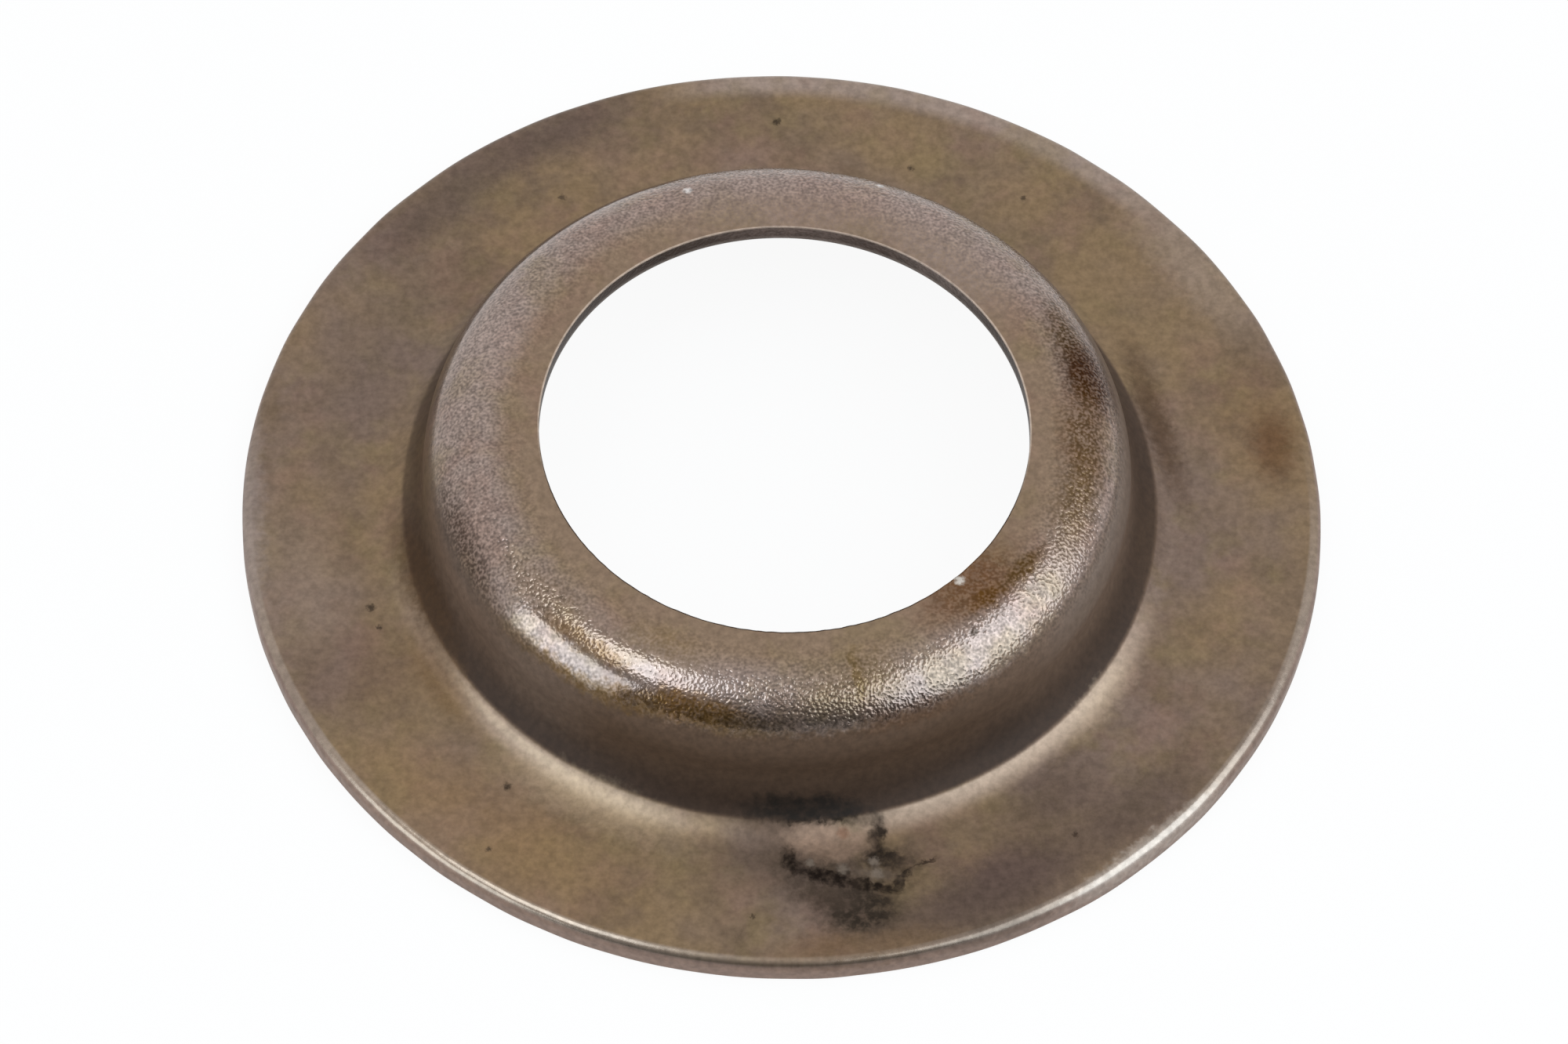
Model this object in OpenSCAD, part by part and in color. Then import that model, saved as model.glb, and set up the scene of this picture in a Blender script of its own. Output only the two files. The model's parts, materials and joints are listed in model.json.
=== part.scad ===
// Valve spring shim: a ring pressed from one piece of sheet steel. A flat flange seats the valve
// spring, and a drawn collar stands up from it to centre the spring's first coil. The collar turns
// in at the top to a narrow crown with a round hole, which drops over the valve guide.
// Millimetres, +Z up, origin on the ring's axis at the underside of the flange.

/* [Flange] */
// Outside diameter of the flange
flange_d = 32; // [28:0.5:40]
// Thickness of the sheet, as it stays on the flange
sheet_t = 0.75; // [0.6:0.05:1.2]
// Roll of the upper rim edge, where the blanking die pulled the sheet down
rim_roll_r = 0.35; // [0.1:0.05:0.4]
// Break of the lower rim edge
rim_break_r = 0.08; // [0.04:0.02:0.16]

/* [Collar] */
// Outside diameter of the collar wall, a loose fit inside the spring
collar_d = 20.9; // [20.4:0.1:23]
// Height of the crown above the underside of the flange
collar_h = 4.8; // [4.2:0.1:7]
// Thickness of the collar wall and the crown, which drawing has thinned
drawn_t = 0.7; // [0.5:0.05:1]
// Outside radius of the shoulder between the wall and the crown
shoulder_r = 2.2; // [1.4:0.1:2.4]
// Radius of the hollow at the foot of the wall, on the spring side
foot_r = 1.75; // [0.8:0.05:2]

/* [Hole] */
// Diameter of the hole in the crown, a clearance over the valve guide
hole_d = 14.4; // [12:0.1:15.4]
// Roll of the lower edge of the hole, where the piercing punch went in
hole_roll_r = 0.2; // [0.1:0.05:0.25]

/* [Hidden] */
flange_r = flange_d / 2;
collar_r = collar_d / 2;
hole_r = hole_d / 2;
wall_in_r = collar_r - drawn_t;
crown_under_z = collar_h - drawn_t;
// Upright part of the wall that is always left between the two bends
least_land = 0.05;
foot_hollow_r = min(foot_r, collar_h - shoulder_r - sheet_t - least_land);
// Radii on the other face of the sheet, at the same two bends
shoulder_in_r = shoulder_r - drawn_t;
foot_under_r = foot_hollow_r + drawn_t;
// Overlap of an edge shape past the corner that it rounds
lap = 0.3;
$fn = 128;

// Rectangle between two opposite corners of the half section
module strip(low, high) {
    translate(low) square(high - low);
}

// Region between a square corner and the arc that rounds it. The corner lies in the direction
// toward, such as [1, -1], as seen from the arc's centre.
module corner_piece(corner, r, toward) {
    centre = corner - r * toward;
    far = corner + lap * toward;
    difference() {
        strip([min(centre.x, far.x), min(centre.y, far.y)], [max(centre.x, far.x), max(centre.y, far.y)]);
        translate(centre) circle(r);
    }
}

// Square-edged section: flange, wall and crown
module square_section() {
    strip([wall_in_r, 0], [flange_r, sheet_t]);
    strip([wall_in_r, 0], [collar_r, collar_h]);
    strip([hole_r, crown_under_z], [collar_r, collar_h]);
}

// Metal that fills the inside of the two bends
module bend_fills() {
    corner_piece([collar_r, sheet_t], foot_hollow_r, [-1, -1]);
    corner_piece([wall_in_r, crown_under_z], shoulder_in_r, [1, 1]);
}

// Metal that is missing from the outside of the two bends
module bend_rounds() {
    corner_piece([collar_r, collar_h], shoulder_r, [1, 1]);
    corner_piece([wall_in_r, 0], foot_under_r, [-1, -1]);
}

// Edges that the blanking and piercing tools left
module edge_rounds() {
    corner_piece([flange_r, sheet_t], rim_roll_r, [1, 1]);
    corner_piece([flange_r, 0], rim_break_r, [1, -1]);
    corner_piece([hole_r, crown_under_z], hole_roll_r, [-1, -1]);
}

// The pressed ring, turned from its half section
module shim() {
    color("#83735f")
    rotate_extrude()
    difference() {
        union() {
            square_section();
            bend_fills();
        }
        bend_rounds();
        edge_rounds();
    }
}

shim();
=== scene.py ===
import json
import math
from types import SimpleNamespace

import bpy
from mathutils import Matrix, Quaternion, Vector, noise


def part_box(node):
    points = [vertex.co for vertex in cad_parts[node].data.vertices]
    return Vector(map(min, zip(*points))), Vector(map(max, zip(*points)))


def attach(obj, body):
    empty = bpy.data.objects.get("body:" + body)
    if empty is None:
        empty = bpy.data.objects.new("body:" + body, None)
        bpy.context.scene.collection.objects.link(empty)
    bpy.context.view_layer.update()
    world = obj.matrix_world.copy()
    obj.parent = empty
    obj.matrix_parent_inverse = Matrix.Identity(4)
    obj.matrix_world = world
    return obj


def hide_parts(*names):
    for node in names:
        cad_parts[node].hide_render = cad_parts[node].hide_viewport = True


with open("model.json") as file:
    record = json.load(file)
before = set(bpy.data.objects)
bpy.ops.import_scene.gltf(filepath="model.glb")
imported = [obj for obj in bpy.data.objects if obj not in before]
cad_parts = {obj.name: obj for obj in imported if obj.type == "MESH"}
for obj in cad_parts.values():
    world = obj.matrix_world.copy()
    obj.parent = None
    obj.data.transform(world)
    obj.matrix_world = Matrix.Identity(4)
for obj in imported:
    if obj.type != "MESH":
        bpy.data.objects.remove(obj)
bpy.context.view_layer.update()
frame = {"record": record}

# Sizes in millimetres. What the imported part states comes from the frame, the rest is the pressed section.
MM = 0.001
mounts = {mount["name"]: mount for mount in frame["record"]["mounts"]}
_, ring_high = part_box("shim")
flange_r = ring_high.x / MM
collar_h = ring_high.z / MM
hole_r = mounts["guide_hole"]["dims"]["r_mm"]
collar_r = mounts["spring_collar"]["dims"]["r_mm"]
sheet_t = mounts["spring_face"]["pos_m"][2] / MM
drawn_t = 0.7
shoulder_r = 2.2
foot_r = 1.75
rim_roll_r = 0.35
rim_break_r = 0.08
hole_roll_r = 0.2
wall_in_r = collar_r - drawn_t
crown_r = collar_r - shoulder_r
crown_under_z = collar_h - drawn_t
shoulder_z = collar_h - shoulder_r
shoulder_in_r = shoulder_r - drawn_t
foot_under_r = foot_r + drawn_t

# Steps of the section around the axis, and the turn between two faces above which an edge stays crisp
steps_around = 640
crisp_turn = math.radians(50)

# The collar stands a little to the left, from the hole's edge out to the flange
collar_shift = -0.17
shift_start = (hole_r, hole_r + 1)
shift_end = (12, 14)
# The rim is ragged and bulges to the right
rim_zone = 1
rim_rag = 0.02
rag_length = 1.5
rim_bulge = 0.06
bulge_turn = math.radians(-20)
# The flange lifts off the floor in long waves
wave_h = 0.03
wave_length = 7
# A thin burr stands on the hole's lip
lip_w = 0.06
burr_h = 0.03
burr_length = 0.25
burr_share = 0.3
# Slices of the random field, so that the three patterns differ
rag_slice, burr_slice, wave_slice = 0, 5, 9


def linear(hex_colour):
    """An sRGB hex colour as linear red, green, blue and alpha."""
    channels = [int(hex_colour[i:i + 2], 16) / 255 for i in (1, 3, 5)]
    return [c / 12.92 if c <= 0.04045 else ((c + 0.055) / 1.055) ** 2.4 for c in channels] + [1.0]


def add(tree, kind, inputs=None, **settings):
    """Adds a node to a tree: its settings, then its inputs, where a socket is linked and a value is set."""
    made = tree.nodes.new(kind)
    for name, value in settings.items():
        setattr(made, name, value)
    for key, value in (inputs or {}).items():
        if isinstance(value, bpy.types.NodeSocket):
            tree.links.new(value, made.inputs[key])
        else:
            made.inputs[key].default_value = value
    return made


# The ring's half section

def straight(start, end, steps):
    """Points along a flat of the section, without its last one: radius and height."""
    return [(start[0] + (end[0] - start[0]) * i / steps, start[1] + (end[1] - start[1]) * i / steps)
            for i in range(steps)]


def arc(centre, radius, start_deg, end_deg, steps):
    """Points along a round of the section, without its last one."""
    angles = [math.radians(start_deg + (end_deg - start_deg) * i / steps) for i in range(steps)]
    return [(centre[0] + radius * math.cos(angle), centre[1] + radius * math.sin(angle))
            for angle in angles]


def half_section():
    """The closed outline of the pressed sheet, clockwise from the hole's upper edge. Each stretch ends with
    its number of steps: fine where the light shows the curve, coarse underneath."""
    outline = straight((hole_r, collar_h), (hole_r + lip_w, collar_h), 1)
    outline += straight((hole_r + lip_w, collar_h), (crown_r, collar_h), 9)
    outline += arc((crown_r, shoulder_z), shoulder_r, 90, 0, 40)
    outline += straight((collar_r, shoulder_z), (collar_r, sheet_t + foot_r), 2)
    outline += arc((collar_r + foot_r, sheet_t + foot_r), foot_r, 180, 270, 18)
    outline += straight((collar_r + foot_r, sheet_t), (flange_r - rim_roll_r, sheet_t), 16)
    outline += arc((flange_r - rim_roll_r, sheet_t - rim_roll_r), rim_roll_r, 90, 0, 12)
    outline += straight((flange_r, sheet_t - rim_roll_r), (flange_r, rim_break_r), 4)
    outline += arc((flange_r - rim_break_r, rim_break_r), rim_break_r, 0, -90, 4)
    outline += straight((flange_r - rim_break_r, 0), (wall_in_r + foot_under_r, 0), 8)
    outline += arc((wall_in_r + foot_under_r, foot_under_r), foot_under_r, 270, 180, 10)
    outline += straight((wall_in_r, foot_under_r), (wall_in_r, crown_under_z - shoulder_in_r), 2)
    outline += arc((wall_in_r - shoulder_in_r, crown_under_z - shoulder_in_r), shoulder_in_r, 0, 90, 8)
    outline += straight((wall_in_r - shoulder_in_r, crown_under_z),
                        (hole_r + hole_roll_r, crown_under_z), 5)
    outline += arc((hole_r + hole_roll_r, crown_under_z + hole_roll_r), hole_roll_r, 270, 180, 5)
    outline += straight((hole_r, crown_under_z + hole_roll_r), (hole_r, collar_h), 5)
    return outline


# The ring

def smooth(value, low, high):
    """0 below low, 1 above high and a soft step between them."""
    share = min(max((value - low) / (high - low), 0), 1)
    return share * share * (3 - 2 * share)


def random_around(radius, angle, length, field_slice):
    """A random value from -1 to 1 that rises and falls over a length in millimetres along the ring."""
    across, along = radius * math.cos(angle), radius * math.sin(angle)
    return noise.noise((across / length, along / length, field_slice))


def uneven(radius, height, angle):
    """A point of the ring in millimetres, moved by what pressing left uneven."""
    rim = smooth(radius, flange_r - rim_zone, flange_r)
    radius += rim_rag * rim * random_around(flange_r, angle, rag_length, rag_slice)
    radius += rim_bulge * rim * max(0, math.cos(angle - bulge_turn)) ** 2
    lip = (1 - smooth(radius, hole_r, hole_r + lip_w)) * smooth(height, collar_h - lip_w, collar_h)
    height += burr_h * lip * max(0, random_around(hole_r, angle, burr_length, burr_slice) + burr_share)
    wave = wave_h * smooth(radius, collar_r + foot_r, flange_r)
    height += wave * (random_around(radius, angle, wave_length, wave_slice) + 1) / 2
    shift = collar_shift * smooth(radius, *shift_start) * (1 - smooth(radius, *shift_end))
    return radius * math.cos(angle) + shift, radius * math.sin(angle), height


def pressed_ring():
    """The shim as one closed mesh, turned from its section."""
    section = half_section()
    points = []
    for step in range(steps_around):
        angle = 2 * math.pi * step / steps_around
        for radius, height in section:
            points.append([size * MM for size in uneven(radius, height, angle)])
    rows = len(section)
    faces = []
    for step in range(steps_around):
        here, there = step * rows, (step + 1) % steps_around * rows
        for row in range(rows):
            after = (row + 1) % rows
            faces.append((here + row, here + after, there + after, there + row))
    mesh = bpy.data.meshes.new("pressed_ring")
    mesh.from_pydata(points, [], faces)
    mesh.shade_smooth()
    mesh.set_sharp_from_angle(angle=crisp_turn)
    ring = bpy.data.objects.new("pressed_ring", mesh)
    bpy.context.scene.collection.objects.link(ring)
    return ring


# The steel's surface. Places are in millimetres from the middle of the flange's underside.

def rising(tree, value, low, high, full=1.0):
    """A mask that is 0 at the first level and full at the second, with a soft step between them."""
    levels = {"Value": value, "From Min": low, "From Max": high, "To Max": full}
    return add(tree, "ShaderNodeMapRange", levels, interpolation_type="SMOOTHSTEP").outputs[0]


def together(tree, *masks):
    """The part that all the masks share."""
    shared = masks[0]
    for mask in masks[1:]:
        shared = add(tree, "ShaderNodeMath", {0: shared, 1: mask}, operation="MULTIPLY").outputs[0]
    return shared


def band(tree, value, rise, fall):
    """A mask that rises over the first pair of levels and falls over the second."""
    return together(tree, rising(tree, value, *rise), rising(tree, value, fall[1], fall[0]))


def patch(tree, place, centre, half_sizes, turn_deg, soft, strength):
    """A mask that fills an egg-shaped place on the ring, turned about the ring's axis."""
    turn = {"Vector": place, "Center": centre, "Angle": math.radians(turn_deg)}
    turned = add(tree, "ShaderNodeVectorRotate", turn, rotation_type="Z_AXIS", invert=True)
    away = add(tree, "ShaderNodeVectorMath", {0: turned.outputs[0], 1: centre}, operation="SUBTRACT")
    share = add(tree, "ShaderNodeVectorMath", {0: away.outputs[0], 1: half_sizes}, operation="DIVIDE")
    reach = add(tree, "ShaderNodeVectorMath", {0: share.outputs[0]}, operation="LENGTH")
    return rising(tree, reach.outputs["Value"], 1 + soft, 1 - soft, strength)


def tinted(tree, under, mask, tone):
    """The colour under a mark, with the mark's tone laid over it."""
    return add(tree, "ShaderNodeMix", {0: mask, 6: under, 7: linear(tone)}, data_type="RGBA").outputs[2]


def mottle(tree, place, grain, detail=2.0):
    """A random cloud of light and dark, with blots of the given size in millimetres."""
    look = {"Vector": place, "Scale": 1 / grain, "Detail": detail, "Roughness": 0.6}
    return add(tree, "ShaderNodeTexNoise", look)


def shaken(tree, place, grain, reach):
    """The place moved about at random, so that a mask made from it gets a ragged edge."""
    cloud = mottle(tree, place, grain).outputs["Color"]
    offset = add(tree, "ShaderNodeVectorMath", {0: cloud, 1: (0.5, 0.5, 0.5)}, operation="SUBTRACT")
    return add(tree, "ShaderNodeVectorMath", {0: offset.outputs[0], 1: (reach,) * 3, 2: place},
               operation="MULTIPLY_ADD").outputs[0]


# Soft stains, painted shade and painted highlights on the ring: centre, half sizes, turn, softness, strength
# and tone
soft_stains = [
    # Rust spot near the right rim, and the rust that crept away from it
    ((14.3, 3.5, 0.75), (1.2, 2.0, 0.5), 12, 0.8, 0.25, "#775a3e"),
    ((14.6, 2.85, 0.75), (0.6, 1.1, 0.5), 6, 0.7, 0.62, "#5c3e26"),
    # Oil that ran over the right shoulder
    ((8.4, 3.5, 4.65), (0.6, 1.6, 0.7), 22, 0.7, 0.95, "#4f3a1e"),
    ((9.1, 2.45, 4.5), (1.0, 1.3, 0.8), 15, 0.5, 1.0, "#3a1c02"),
    ((8.8, 0.2, 4.7), (0.7, 1.6, 0.8), 2, 0.7, 0.8, "#573c12"),
    ((8.65, -2.0, 4.7), (0.6, 1.5, 0.7), -13, 0.7, 0.75, "#624a22"),
    ((8.3, -3.8, 4.6), (0.7, 1.2, 0.5), -24, 0.8, 0.35, "#6b5232"),
    # Brown oil on the near crown, above the right highlight
    ((5.6, -5.25, 4.8), (0.85, 1.55, 0.5), -43, 0.7, 0.8, "#614022"),
    ((6.08, -5.68, 4.8), (0.26, 0.7, 0.5), -46, 0.6, 0.9, "#5b3d14"),
    ((7.1, -4.6, 4.8), (0.26, 0.85, 0.5), -36, 0.6, 0.9, "#573e18"),
    # Brown oil above and under the left highlight
    ((-6.6, -6.2, 4.65), (1.6, 0.5, 0.5), -43, 0.8, 0.5, "#775f3e"),
    ((-3.3, -7.8, 4.8), (1.3, 0.5, 0.5), -23, 0.8, 0.45, "#7e663c"),
    ((-5.4, -7.65, 4.4), (1.6, 0.22, 0.4), -35, 0.6, 0.7, "#6d5130"),
    ((-2.3, -9.5, 4.14), (1.5, 0.45, 0.4), -13, 0.5, 0.85, "#85602a"),
    ((-4.1, -9.1, 3.9), (1.0, 0.32, 0.35), -25, 0.6, 0.75, "#684a1e"),
    ((-0.9, -9.85, 4.02), (1.3, 0.3, 0.4), -5, 0.6, 0.5, "#6b5128"),
    ((-5.9, -8.15, 3.72), (1.9, 0.3, 0.26), -36, 0.6, 0.85, "#5e4520"),
    # Brown oil under the right highlight and at its near end, with a drip on the near crown
    ((4.1, -9.15, 3.95), (1.8, 0.28, 0.4), 24, 0.6, 0.65, "#563c28"),
    ((2.4, -8.5, 4.72), (0.16, 0.75, 0.5), 15, 0.6, 0.7, "#5f4a1e"),
    ((2.9, -8.3, 4.7), (0.8, 0.7, 0.5), 19, 0.8, 0.5, "#79643f"),
    ((2.0, -8.9, 4.5), (1.4, 0.9, 0.7), 12, 0.8, 0.5, "#75603f"),
    # Ochre bloom on the near left of the flange
    ((-8.0, -11.7, 0.75), (3.8, 1.5, 0.5), -34, 0.8, 0.4, "#90714e"),
    # Painted shade along the collar's wall and in the corner of its foot, left, right and in front; on the
    # near left of the wall it is lighter
    ((-10.3, -4.1, 1.3), (0.55, 2.6, 0.8), 21, 0.7, 0.75, "#412c18"),
    ((-6.8, -7.9, 2.7), (1.7, 0.5, 0.9), -41, 0.8, 0.4, "#77665a"),
    ((-7.7, -6.6, 3.65), (0.45, 1.5, 0.4), 40, 0.7, 0.5, "#4f3e2e"),
    ((-9.7, -6.7, 0.8), (0.5, 1.6, 0.4), 34, 0.8, 0.5, "#684e32"),
    ((11.1, 3.4, 0.95), (0.45, 2.7, 0.5), 17, 0.7, 0.75, "#4b3828"),
    ((10.9, -1.2, 1.1), (0.5, 1.8, 0.6), -6, 0.8, 0.4, "#4a3727"),
    ((6.8, -8.4, 1.6), (1.4, 0.4, 0.7), 39, 0.7, 0.35, "#2c2019"),
    ((0.3, -11.4, 0.95), (1.0, 0.45, 0.5), 0, 0.7, 0.4, "#4a3526"),
    # Dark wear on the left of the shoulder
    ((-9.2, -4.0, 3.85), (0.8, 2.2, 0.55), 24, 0.5, 0.9, "#524339"),
    # Painted highlight on the flange by the collar's foot, near left and near right
    ((-5.0, -10.8, 0.8), (2.7, 0.6, 0.4), -25, 0.8, 0.6, "#ab957a"),
    ((9.65, -6.5, 0.85), (0.4, 1.5, 0.4), -34, 0.7, 0.5, "#ab9680"),
    # Purple and brown bloom on the flange: near right, left, far left and around the burnt patch
    ((6.9, -12.7, 0.75), (2.6, 0.95, 0.5), 28, 0.7, 0.85, "#544540"),
    ((10.6, -10.2, 0.75), (2.2, 0.9, 0.5), 44, 0.7, 0.75, "#594a42"),
    ((8.2, -10.1, 0.75), (1.7, 0.9, 0.5), 40, 0.8, 0.65, "#574840"),
    ((5.6, -14.0, 0.75), (2.2, 0.7, 0.5), 21, 0.7, 0.7, "#594a42"),
    ((14.2, -6.4, 0.75), (0.5, 1.8, 0.5), -24, 0.8, 0.5, "#6b5b51"),
    ((-10.8, 10.3, 0.75), (0.8, 2.6, 0.5), -44, 0.8, 0.65, "#584a44"),
    ((-7.6, 13.1, 0.75), (0.8, 2.6, 0.5), -59, 0.8, 0.75, "#5b4c46"),
    ((-12.6, 4.6, 0.75), (1.2, 3.0, 0.5), -20, 0.8, 0.5, "#6b5b52"),
    ((-12.4, -6.6, 0.75), (1.9, 1.6, 0.5), 28, 0.8, 0.35, "#624c46"),
    ((6.9, -14.3, 0.7), (1.4, 0.35, 0.4), 26, 0.8, 0.45, "#5c5046"),
    ((-0.1, -12.3, 0.8), (1.1, 1.2, 0.5), 0, 0.8, 0.5, "#5a4b40"),
    ((2.6, -15.2, 0.75), (2.2, 0.5, 0.5), 10, 0.8, 0.6, "#6b543c"),
    # Metal that stayed lighter: the left of the flange, the far right of the flange and the left of the
    # shoulder. A painted highlight lies on the near right rim, and a painted reflection on the far crown
    ((-14.0, -3.7, 0.75), (1.2, 2.4, 0.5), 15, 0.8, 0.5, "#8b7869"),
    ((-15.8, -1.5, 0.75), (0.45, 4.0, 0.5), 5, 0.8, 0.7, "#8f817a"),
    ((11.05, -11.4, 0.6), (0.3, 3.2, 0.4), -46, 0.6, 0.5, "#b3a89e"),
    ((12.2, 9.3, 0.75), (0.8, 2.5, 0.5), 37, 0.8, 0.6, "#938274"),
    ((0.0, 8.3, 4.8), (5.0, 1.3, 0.6), 0, 0.8, 0.6, "#917f78"),
    ((4.8, 6.4, 4.8), (2.2, 1.0, 0.5), -37, 0.8, 0.6, "#94847e"),
    ((-8.6, 2.6, 4.7), (0.7, 1.8, 0.6), -17, 0.8, 0.5, "#9d8d86"),
]

# Burnt patch in front, in the same terms
burnt_marks = [
    # Soot, and the dark edges of the scale
    ((2.1, -12.8, 0.75), (1.8, 1.3, 0.6), 0, 0.5, 0.75, "#41372f"),
    ((2.8, -14.0, 0.75), (1.2, 0.8, 0.6), 6, 0.5, 1.0, "#332b24"),
    ((1.65, -13.55, 0.75), (0.95, 0.4, 0.5), -12, 0.6, 0.7, "#493d34"),
    ((1.2, -10.97, 1.22), (1.85, 0.42, 0.55), 0, 0.4, 0.95, "#1c1611"),
    ((0.68, -12.3, 0.75), (0.2, 0.55, 0.5), 25, 0.6, 1.0, "#201914"),
    ((1.75, -12.87, 0.75), (1.0, 0.24, 0.5), -11, 0.6, 1.0, "#1d1612"),
    ((3.2, -13.17, 0.75), (0.6, 0.18, 0.5), -8, 0.6, 1.0, "#201914"),
    ((3.9, -12.85, 0.75), (0.15, 0.45, 0.5), -33, 0.5, 0.95, "#241d18"),
    ((3.4, -12.2, 0.75), (0.7, 0.28, 0.5), -8, 0.5, 0.95, "#2c2520"),
    ((3.15, -11.5, 0.8), (0.26, 0.6, 0.5), 0, 0.5, 0.95, "#241d18"),
    # Pale metal where the scale flaked off
    ((1.72, -11.78, 0.8), (1.2, 0.52, 0.5), 0, 0.4, 1.0, "#8b7463"),
    ((3.2, -12.72, 0.75), (0.55, 0.2, 0.5), -4, 0.6, 0.6, "#6d6055"),
    # Soot smeared to the right
    ((4.5, -12.27, 0.75), (0.45, 0.08, 0.5), 30, 0.5, 0.9, "#33271f"),
    ((4.0, -12.5, 0.75), (0.7, 0.6, 0.5), 0, 0.6, 0.4, "#3a3028"),
]

# Specks: place, radius and tone
specks = [
    # Dark pits on the flange
    ((-0.64, 14.07, 0.75), 0.12, "#332a22"),
    ((3.5, 12.52, 0.75), 0.09, "#40352b"),
    ((-7.06, 10.87, 0.75), 0.1, "#463a30"),
    ((6.96, 11.59, 0.75), 0.09, "#40352b"),
    ((-11.93, -4.3, 0.75), 0.13, "#2e261f"),
    ((-11.65, -5.0, 0.75), 0.09, "#3a3028"),
    ((-7.6, -10.3, 0.75), 0.12, "#2e261f"),
    ((-8.04, -12.47, 0.75), 0.08, "#3a3028"),
    ((-0.3, -14.36, 0.75), 0.08, "#3f342a"),
    ((8.92, -11.1, 0.75), 0.09, "#3a2e26"),
    # Dark pits on the shoulder
    ((-9.82, -0.82, 4.11), 0.1, "#4a4038"),
    ((5.72, -6.82, 4.7), 0.12, "#3a3128"),
    # Pale flakes in the burnt patch
    ((2.2, -11.45, 0.84), 0.17, "#7a5c4a"),
    ((1.27, -12.46, 0.75), 0.13, "#776b60"),
    ((2.22, -12.61, 0.75), 0.16, "#776b60"),
    ((3.12, -12.33, 0.75), 0.15, "#776b60"),
    ((3.22, -12.72, 0.75), 0.16, "#776b60"),
    # Bright nicks on the far shoulder and at the hole
    ((-3.19, 8.48, 4.64), 0.12, "#c9c6c4"),
    ((2.54, 9.21, 4.37), 0.11, "#cfccc9"),
    ((5.26, -5.15, 4.8), 0.13, "#d5d0c8"),
]
speck_soft = 0.6
speck_strength = 0.8

# Blots of the oxide in millimetres: broad clouds, blotches and a coloured bloom
cloud_size = 7
blotch_size = 2.2
bloom_size = 2.0
# Fine grain of the oxide, and the lumps of about a tenth of a millimetre that the stretched skin peels in
fine_size = 0.22
fine_contrast = 0.16
peel_size = 0.09
peel_contrast = 0.36
peel_depth = 0.023
# Crumbs that soot and scale lie in
crumb_size = 0.25
# Ragged edges of stains, painted shade and highlights, scale and specks: the size of their bays and how far
# these reach
stain_edge = (0.25, 0.6)
scale_edge = (0.6, 0.6)
scale_crumble = (0.2, 0.4)
speck_edge = (0.09, 0.25)
# Line on the flange where the dark of the collar's foot ends
foot_line_r = 11.2
foot_middle = (-0.06, -0.06, 0)


def places(tree):
    """Where a point of the ring is, measured in the ways that the masks need."""
    at = SimpleNamespace()
    metres = add(tree, "ShaderNodeTexCoord").outputs["Object"]
    at.point = add(tree, "ShaderNodeVectorMath", {0: metres, 1: (1 / MM,) * 3},
                   operation="MULTIPLY").outputs[0]
    level = add(tree, "ShaderNodeVectorMath", {0: at.point, 1: (1, 1, 0)}, operation="MULTIPLY").outputs[0]
    at.radius = add(tree, "ShaderNodeVectorMath", {0: level}, operation="LENGTH").outputs["Value"]
    from_foot_middle = add(tree, "ShaderNodeVectorMath", {0: level, 1: foot_middle}, operation="DISTANCE")
    at.past_foot = add(tree, "ShaderNodeMath", {0: from_foot_middle.outputs["Value"], 1: foot_line_r},
                       operation="SUBTRACT").outputs[0]
    axes = add(tree, "ShaderNodeSeparateXYZ", {0: at.point}).outputs
    at.sideways, at.ahead, at.height = axes["X"], axes["Y"], axes["Z"]
    at.off_middle = add(tree, "ShaderNodeMath", {0: at.sideways}, operation="ABSOLUTE").outputs[0]
    at.ragged = shaken(tree, at.point, *stain_edge)
    at.flaky = shaken(tree, shaken(tree, at.point, *scale_edge), *scale_crumble)
    at.nicked = shaken(tree, at.point, *speck_edge)
    ragged_height = add(tree, "ShaderNodeSeparateXYZ", {0: at.ragged}).outputs["Z"]
    # 0 where the shoulder's round starts from the wall, 1 on the crown
    at.lift, at.ragged_lift = [
        add(tree, "ShaderNodeMapRange", {"Value": height, "From Min": shoulder_z, "From Max": collar_h},
            clamp=False).outputs[0]
        for height in (at.height, ragged_height)]
    return at


def skin_patterns(tree, at):
    """The random patterns of the browned skin."""
    skin = SimpleNamespace()
    skin.cloud = mottle(tree, at.point, cloud_size, 3.0).outputs["Fac"]
    skin.blotch = mottle(tree, at.point, blotch_size, 4.0).outputs["Fac"]
    skin.fine = mottle(tree, at.point, fine_size).outputs["Fac"]
    skin.peel = mottle(tree, at.point, peel_size, 0.6).outputs["Fac"]
    # Stains and the painted light and shade among them are thin on the tops of the lumps, soot and scale
    # between their crumbs
    skin.off_lumps = add(tree, "ShaderNodeMapRange", {"Value": skin.peel, "From Min": 0.62,
                                                      "From Max": 0.42, "To Min": 0.6}).outputs[0]
    crumble = mottle(tree, at.point, crumb_size).outputs["Fac"]
    skin.crumbs = add(tree, "ShaderNodeMapRange", {"Value": crumble, "From Min": 0.68,
                                                   "From Max": 0.42, "To Min": 0.6}).outputs[0]
    bloom = mottle(tree, at.point, bloom_size, 3.0).outputs["Color"]
    bloom_parts = add(tree, "ShaderNodeSeparateXYZ", {0: bloom}).outputs
    skin.rosy = rising(tree, bloom_parts["X"], 0.48, 0.68, 0.3)
    skin.olive = rising(tree, bloom_parts["Y"], 0.48, 0.68, 0.35)
    return skin


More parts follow.
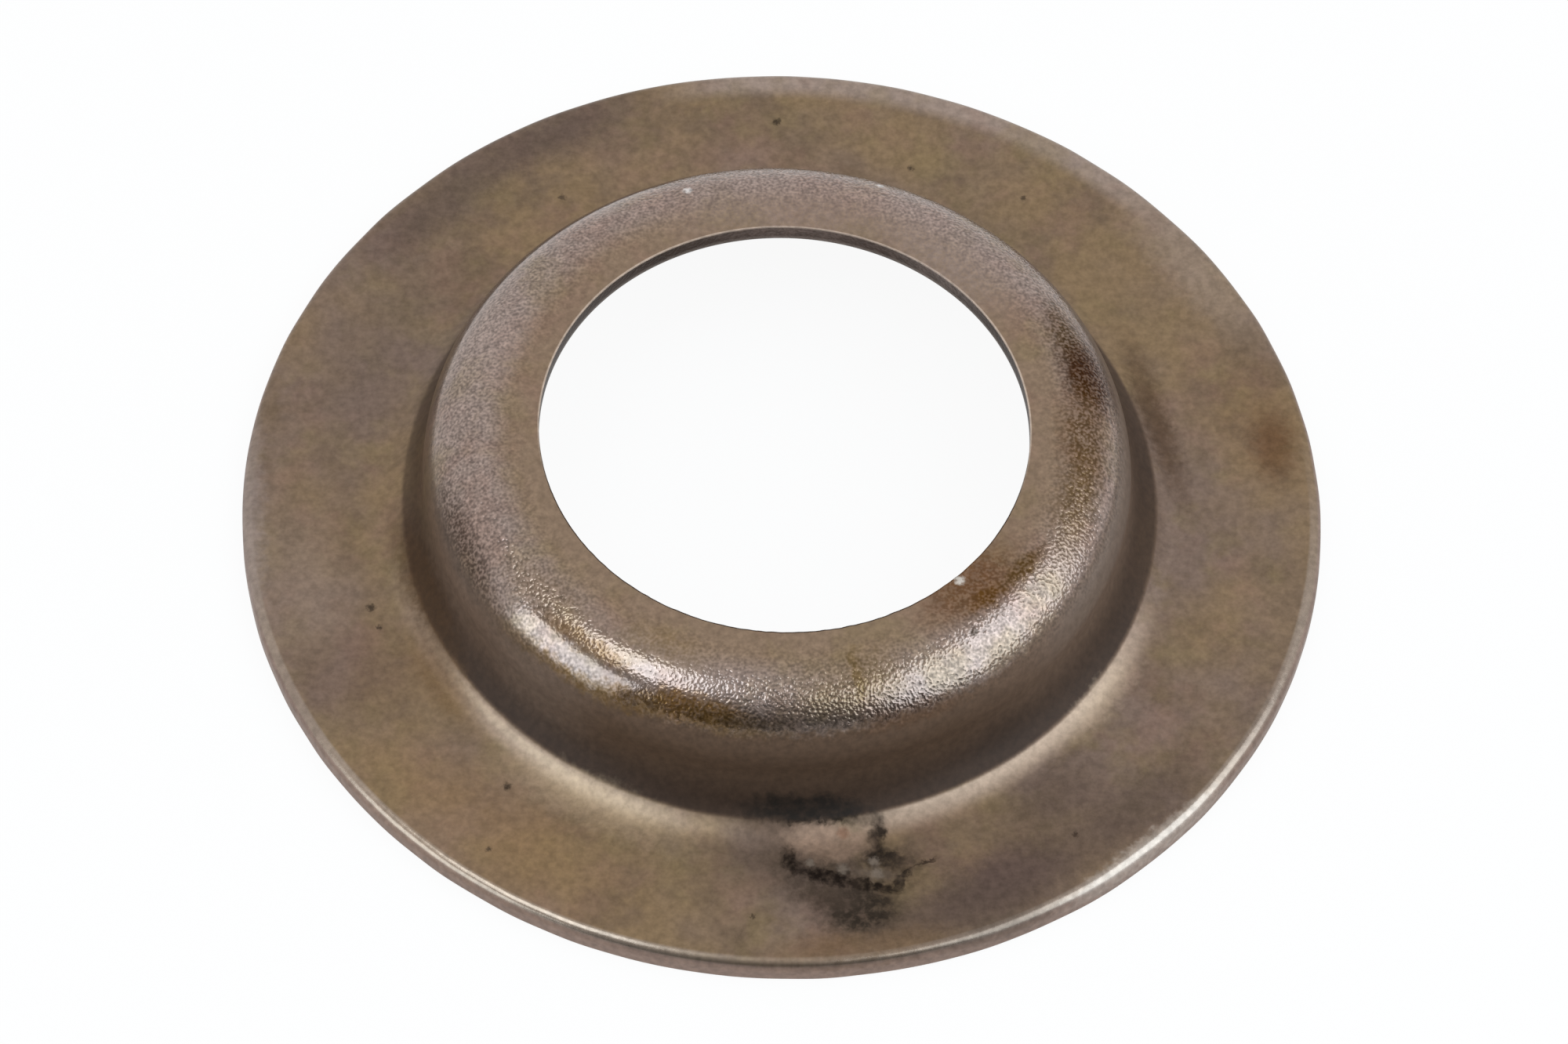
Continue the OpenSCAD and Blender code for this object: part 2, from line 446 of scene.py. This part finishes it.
def pressing_zones(tree, at):
    """Masks of the zones that the press, the heat and the spring left different from the flat flange, and of
    painted shade and highlights.
    """
    zone = SimpleNamespace()
    zone.collar_top = rising(tree, at.ragged_lift, 0.3, 0.7)
    zone.crown = together(tree, rising(tree, at.radius, crown_r + 0.65, crown_r - 0.35), zone.collar_top)

    # The skin peels around the shoulder. On the left the punch ironed its lower part, and wear smoothed
    # the place of the left highlight.
    ironed = rising(tree, at.sideways, -2.6, -4.8, 0.28)
    peel_lift = add(tree, "ShaderNodeMath", {0: at.lift, 1: ironed}, operation="SUBTRACT").outputs[0]
    worn = patch(tree, at.point, (-3.9, -8.3, 4.6), (2.9, 1.1, 0.8), -26, 0.4, 0.5)
    unworn = add(tree, "ShaderNodeMath", {0: 1.0, 1: worn}, operation="SUBTRACT").outputs[0]
    zone.peeled = together(tree, rising(tree, peel_lift, 0.45, 0.65), rising(tree, at.lift, 0.999, 0.985),
                           unworn)
    zone.grainy = together(tree, zone.collar_top, rising(tree, at.radius, hole_r - 0.2, hole_r + 2), unworn)

    # Painted shade on the collar's wall: full on the near side, which faces the camera; on the far side half
    # of it on the right, and none on the left.
    left_near = together(tree, rising(tree, at.ahead, 1.0, -5.5), rising(tree, at.sideways, 2, -2))
    right = rising(tree, at.sideways, -2, 2)
    right_near = together(tree, rising(tree, at.ahead, 5.0, -1.5, 0.5), right)
    right_dark = add(tree, "ShaderNodeMath", {0: right, 1: 0.5, 2: right_near}, operation="MULTIPLY_ADD")
    dark = add(tree, "ShaderNodeMath", {0: left_near, 1: right_dark.outputs[0]}, operation="ADD").outputs[0]
    # On the left the painted shade ends lower under the shoulder
    lower_left = rising(tree, at.sideways, -3.6, -5.2, 0.1)
    dark_lift = add(tree, "ShaderNodeMath", {0: at.ragged_lift, 1: lower_left}, operation="ADD").outputs[0]
    zone.wall = together(tree, rising(tree, at.past_foot, 0.07, -0.08), rising(tree, dark_lift, 0.675, 0.475),
                         dark)
    # The painted shade is lighter on the sides of the wall
    zone.wall_side = together(tree, zone.wall, rising(tree, at.off_middle, 5.0, 9.5))
    # Deeper painted shade low on the wall and in the corner of its foot, at half strength where the wall has
    # none
    half_dark = add(tree, "ShaderNodeMath", {0: dark, 1: 0.5, 2: 0.5}, operation="MULTIPLY_ADD").outputs[0]
    zone.hollow = together(tree, rising(tree, at.past_foot, 0.05, -0.1), rising(tree, at.height, 2.6, 1.2),
                           half_dark)

    # The spring burnished the right of the shoulder. Around the near foot a lighter track is painted
    # highlight, with a brighter painted highlight line in it on the left
    zone.burnished = together(tree, band(tree, at.lift, (-0.05, 0.25), (0.55, 0.68)),
                              rising(tree, at.sideways, 7.2, 9.2))
    zone.coil_track = together(tree, rising(tree, at.ahead, -2, -6), rising(tree, at.off_middle, 0.5, 4.5),
                               band(tree, at.past_foot, (-0.08, 0.08), (0.3, 0.8)))
    zone.coil_line = together(tree, rising(tree, at.sideways, -4.8, -6.5), rising(tree, at.ahead, -4, -7),
                              band(tree, at.past_foot, (0.05, 0.15), (0.22, 0.4)))

    # The rim has a painted sheen on its far edge, a painted highlight on its roll on the near side, and a
    # sheared wall
    zone.far_edge = together(tree, rising(tree, at.radius, flange_r - 1.1, flange_r - 0.5),
                             rising(tree, at.ahead, 9, 13), rising(tree, at.sideways, -5, -1.5))
    zone.rim_roll = together(tree, rising(tree, at.radius, flange_r - rim_roll_r, flange_r - 0.25),
                             rising(tree, at.ahead, 4, -4), rising(tree, at.off_middle, -3, 5))
    zone.rim_wall = together(tree, rising(tree, at.radius, flange_r - 0.1, flange_r - 0.05),
                             rising(tree, at.height, sheet_t - 0.05, sheet_t - 0.15))

    # The hole has a dark wall and torn metal low on it, and on the far side its lip has a painted highlight
    zone.hole = rising(tree, at.radius, hole_r + 0.04, hole_r + 0.02)
    zone.torn = together(tree, zone.hole, rising(tree, at.height, collar_h - 0.38, collar_h - 0.48))
    zone.lip = together(tree, rising(tree, at.radius, hole_r + lip_w, hole_r + 0.03),
                        rising(tree, at.height, collar_h - 0.06, collar_h - 0.02),
                        rising(tree, at.ahead, -3, 1))
    return zone


def browned_colour(tree, at, skin, zone):
    """The oxide's brown, with the zones, stains, painted light and shade, burnt patch, specks and grain laid
    over it in turn.
    """
    layers = [
        (rising(tree, skin.cloud, 0.38, 0.62), "#78665b"),
        (rising(tree, skin.blotch, 0.45, 0.68), "#705e4d"),
        (zone.far_edge, "#958479"),
        (zone.collar_top, "#8d7d75"),
        (zone.crown, "#85715f"),
        (skin.rosy, "#86695d"),
        (skin.olive, "#7f6f4f"),
        (zone.coil_track, "#907c6b"),
        (zone.coil_line, "#a4907c"),
        (zone.wall, "#594536"),
        (zone.wall_side, "#685446"),
        (zone.burnished, "#6b5b50"),
        (zone.hollow, "#38291f"),
        (zone.rim_roll, "#928376"),
        (zone.rim_wall, "#8a766b"),
        (zone.hole, "#372a22"),
        (zone.torn, "#5c514a"),
        (zone.lip, "#b5a394"),
    ]
    stained = add(tree, "ShaderNodeMix", {0: zone.collar_top, 2: 1.0, 3: skin.off_lumps}).outputs[0]
    colour = linear("#816c53")
    for mask, tone in layers:
        colour = tinted(tree, colour, mask, tone)
    for *where, tone in soft_stains:
        colour = tinted(tree, colour, together(tree, patch(tree, at.ragged, *where), stained), tone)
    for *where, tone in burnt_marks:
        colour = tinted(tree, colour, together(tree, patch(tree, at.flaky, *where), skin.crumbs), tone)
    for spot, size, tone in specks:
        mask = patch(tree, at.nicked, spot, (size,) * 3, 0, speck_soft, speck_strength)
        colour = tinted(tree, colour, mask, tone)
    grains = [(skin.fine, fine_contrast, 1.0), (skin.peel, peel_contrast, zone.grainy)]
    for pattern, contrast, share in grains:
        shade = add(tree, "ShaderNodeMapRange", {"Value": pattern, "From Min": 0.3, "From Max": 0.7,
                                                 "To Min": 1 - contrast, "To Max": 1 + contrast})
        colour = add(tree, "ShaderNodeMix", {0: share, 6: colour, 7: shade.outputs[0]}, data_type="RGBA",
                     blend_type="MULTIPLY").outputs[2]
    return colour


def browned_steel():
    """Pressed mild steel, browned by heat and lightly oiled: a dull metal sheen over warm grey-brown."""
    made = bpy.data.materials.new("browned_steel")
    made.use_nodes = True
    tree = made.node_tree
    at = places(tree)
    skin = skin_patterns(tree, at)
    zone = pressing_zones(tree, at)
    colour = browned_colour(tree, at, skin, zone)

    # The oiled shoulder and the rim's roll shine, the wall under the painted shade and the cut edges are dull
    dullness = [(zone.collar_top, 0.13), (zone.coil_track, 0.42), (zone.wall, 0.5), (zone.burnished, 0.35),
                (zone.rim_roll, 0.22), (zone.rim_wall, 0.5), (zone.hole, 0.5)]
    roughness = 0.4
    for mask, value in dullness:
        roughness = add(tree, "ShaderNodeMix", {0: mask, 2: roughness, 3: value}).outputs[0]
    # Where the painted shade lies on the wall, most of the metal's sheen is taken away too
    metallic = add(tree, "ShaderNodeMix", {0: zone.wall, 2: 0.9, 3: 0.3}).outputs[0]

    lumps = together(tree, skin.peel, zone.peeled)
    grain = add(tree, "ShaderNodeMath", {0: skin.fine, 1: 0.15, 2: lumps}, operation="MULTIPLY_ADD")
    bump = add(tree, "ShaderNodeBump", {"Height": grain.outputs[0], "Distance": peel_depth * MM,
                                        "Strength": 1.0})

    shader = tree.nodes["Principled BSDF"]
    tree.links.new(colour, shader.inputs["Base Color"])
    tree.links.new(roughness, shader.inputs["Roughness"])
    tree.links.new(bump.outputs[0], shader.inputs["Normal"])
    tree.links.new(metallic, shader.inputs["Metallic"])
    # Oxide glints weakly
    shader.inputs["Specular IOR Level"].default_value = 0.2
    return made


# Stage, in metres

floor_reach = 1.5
floor_white = "#fdfdfd"
paper_white = "#f2f2f2"
shadow_share = 0.05


def pale_floor():
    """A sheet of matt white paper: near white to the eye and to the metal, and a share takes the shadow."""
    mesh = bpy.data.meshes.new("floor")
    corners = [(-floor_reach, -floor_reach, 0), (floor_reach, -floor_reach, 0),
               (floor_reach, floor_reach, 0), (-floor_reach, floor_reach, 0)]
    mesh.from_pydata(corners, [], [(0, 1, 2, 3)])
    floor = bpy.data.objects.new("floor", mesh)
    bpy.context.scene.collection.objects.link(floor)
    made = bpy.data.materials.new("white_sheet")
    made.use_nodes = True
    tree = made.node_tree
    tree.nodes.remove(tree.nodes["Principled BSDF"])
    paper = add(tree, "ShaderNodeBsdfDiffuse", {"Color": linear(paper_white)})
    glow = add(tree, "ShaderNodeEmission", {"Color": linear(floor_white), "Strength": 1.0})
    lit = add(tree, "ShaderNodeMixShader", {0: 1 - shadow_share, 1: paper.outputs[0], 2: glow.outputs[0]})
    path = add(tree, "ShaderNodeLightPath").outputs
    seen = add(tree, "ShaderNodeMath", {0: path["Is Camera Ray"], 1: path["Is Glossy Ray"]},
               operation="MAXIMUM")
    shown = add(tree, "ShaderNodeMath", {0: seen.outputs[0], 1: path["Is Transmission Ray"]},
                operation="MAXIMUM")
    both = add(tree, "ShaderNodeMixShader", {0: shown.outputs[0], 1: paper.outputs[0], 2: lit.outputs[0]})
    tree.links.new(both.outputs[0], tree.nodes["Material Output"].inputs["Surface"])
    mesh.materials.append(made)


# Brightness of the room behind the ring and on the camera's side, and the directions between which it fades
room_back = 1.0
room_front = 0.12
room_fade = (-1.0, -0.1)


def studio_room():
    """A pale room, dark on the camera's side."""
    world = bpy.data.worlds.new("studio_room")
    bpy.context.scene.world = world
    world.use_nodes = True
    tree = world.node_tree
    direction = add(tree, "ShaderNodeTexCoord").outputs["Generated"]
    axes = add(tree, "ShaderNodeSeparateXYZ", {0: direction})
    level = add(tree, "ShaderNodeMapRange", {"Value": axes.outputs["Y"], "From Min": room_fade[0],
                                             "From Max": room_fade[1], "To Min": room_front,
                                             "To Max": room_back}, interpolation_type="SMOOTHSTEP")
    backdrop = tree.nodes["Background"]
    tree.links.new(level.outputs[0], backdrop.inputs["Strength"])
    backdrop.inputs["Color"].default_value = (1, 1, 1, 1)


light_distance = 0.4
cool_white = "#dcf0ff"


def softbox(name, zenith_deg, turn_deg, width, height, brightness, roll_deg=0):
    """A lamp that faces the ring, at an angle from straight up and a turn from +X. It can roll about the
    line to the ring."""
    zenith, turn = math.radians(zenith_deg), math.radians(turn_deg)
    level = Vector((math.cos(turn), math.sin(turn), 0))
    towards = level * math.sin(zenith) + Vector((0, 0, math.cos(zenith)))
    lamp = bpy.data.lights.new(name, "AREA")
    lamp.shape = "RECTANGLE"
    lamp.size, lamp.size_y = width, height
    # The power that gives a lamp of this area its brightness
    lamp.energy = 4 * width * height * brightness
    lamp.color = linear(cool_white)[:3]
    made = bpy.data.objects.new(name, lamp)
    made.location = towards * light_distance
    roll = Quaternion((0, 0, 1), math.radians(roll_deg))
    made.rotation_euler = (towards.to_track_quat("Z", "Y") @ roll).to_euler()
    bpy.context.scene.collection.objects.link(made)


# Camera, as fitted to the outlines of the flange, the hole and the collar
image_w = 2000
focal_px = 10972
camera_elevation = math.radians(56.144)
camera_roll = math.radians(2.447)
camera_distance = 256 * MM
camera_right = 0.0928 * MM
camera_up = -0.12672 * MM
nearest_seen = 10 * MM


def photo_camera():
    """A long lens at the photo's angle, above and in front of the ring."""
    back = Vector((0, -math.cos(camera_elevation), math.sin(camera_elevation)))
    level = Vector((1, 0, 0))
    upright = back.cross(level)
    right = level * math.cos(camera_roll) + upright * math.sin(camera_roll)
    up = upright * math.cos(camera_roll) - level * math.sin(camera_roll)
    lens = bpy.data.cameras.new("photo_camera")
    lens.sensor_width = 36
    lens.lens = focal_px / image_w * lens.sensor_width
    lens.clip_start = nearest_seen
    camera = bpy.data.objects.new("photo_camera", lens)
    turn = Matrix((right, up, back)).transposed().to_4x4()
    place = back * camera_distance + right * camera_right + up * camera_up
    camera.matrix_world = Matrix.Translation(place) @ turn
    bpy.context.scene.collection.objects.link(camera)
    bpy.context.scene.camera = camera


ring = pressed_ring()
ring.data.materials.append(browned_steel())
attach(ring, "root")
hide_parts("shim")

pale_floor()
studio_room()
softbox("left_low", zenith_deg=68, turn_deg=212, width=0.23, height=0.24, brightness=2.15)
softbox("left_top", zenith_deg=25, turn_deg=212, width=0.13, height=0.19, brightness=3.0, roll_deg=40)
softbox("right_top", zenith_deg=48, turn_deg=341.5, width=0.42, height=0.38, brightness=1.9)
photo_camera()
bpy.context.scene.view_settings.view_transform = "Standard"
